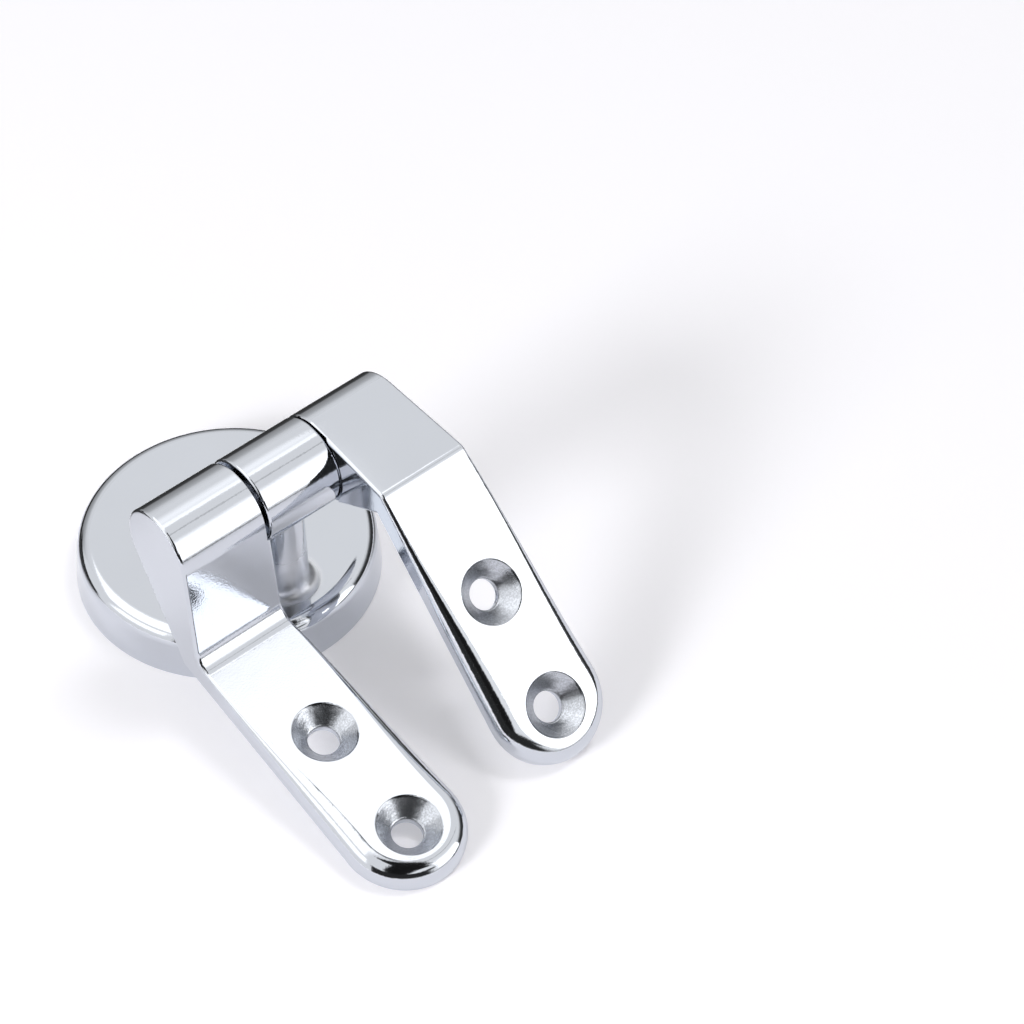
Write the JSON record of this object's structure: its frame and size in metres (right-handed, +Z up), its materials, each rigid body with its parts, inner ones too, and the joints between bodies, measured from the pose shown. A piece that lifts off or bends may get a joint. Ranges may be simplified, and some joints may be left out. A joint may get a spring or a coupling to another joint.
{
  "type": "toilet seat hinge",
  "caption": "Chrome-plated hinge for a toilet seat and lid: round foot with an offset post and barrel, a sloped seat strap and a cranked lid strap with countersunk screw holes.",
  "frame": {"origin": "centre of the foot, on the face that sits on the pan, at the mouth of the bolt hole", "axes": "+Z up from the pan, X along the barrel with the seat strap at +X and the lid strap at -X, both straps swung back towards -Y"},
  "size_m": [0.0567, 0.1088, 0.0433],
  "materials": {
    "base_chrome": "bright plated casting",
    "lid_chrome": "bright plated casting",
    "seat_chrome": "bright plated casting",
    "pin_steel": "drawn steel"
  },
  "bodies": {
    "base": {"base": "base_chrome", "hinge_pin": "pin_steel"},
    "lid_strap": {"lid_strap": "lid_chrome"},
    "seat_strap": {"seat_strap": "seat_chrome"}
  },
  "joints": [
    {"name": "lid_hinge", "type": "hinge", "parent": "base", "child": "lid_strap", "pos_m": [0, -0.0164, 0.035], "axis": [-1, 0, 0], "range_deg": [0, 191.45]},
    {"name": "seat_hinge", "type": "hinge", "parent": "base", "child": "seat_strap", "pos_m": [0, -0.0164, 0.035], "axis": [-1, 0, 0], "range_deg": [0, 222.17]}
  ]
}
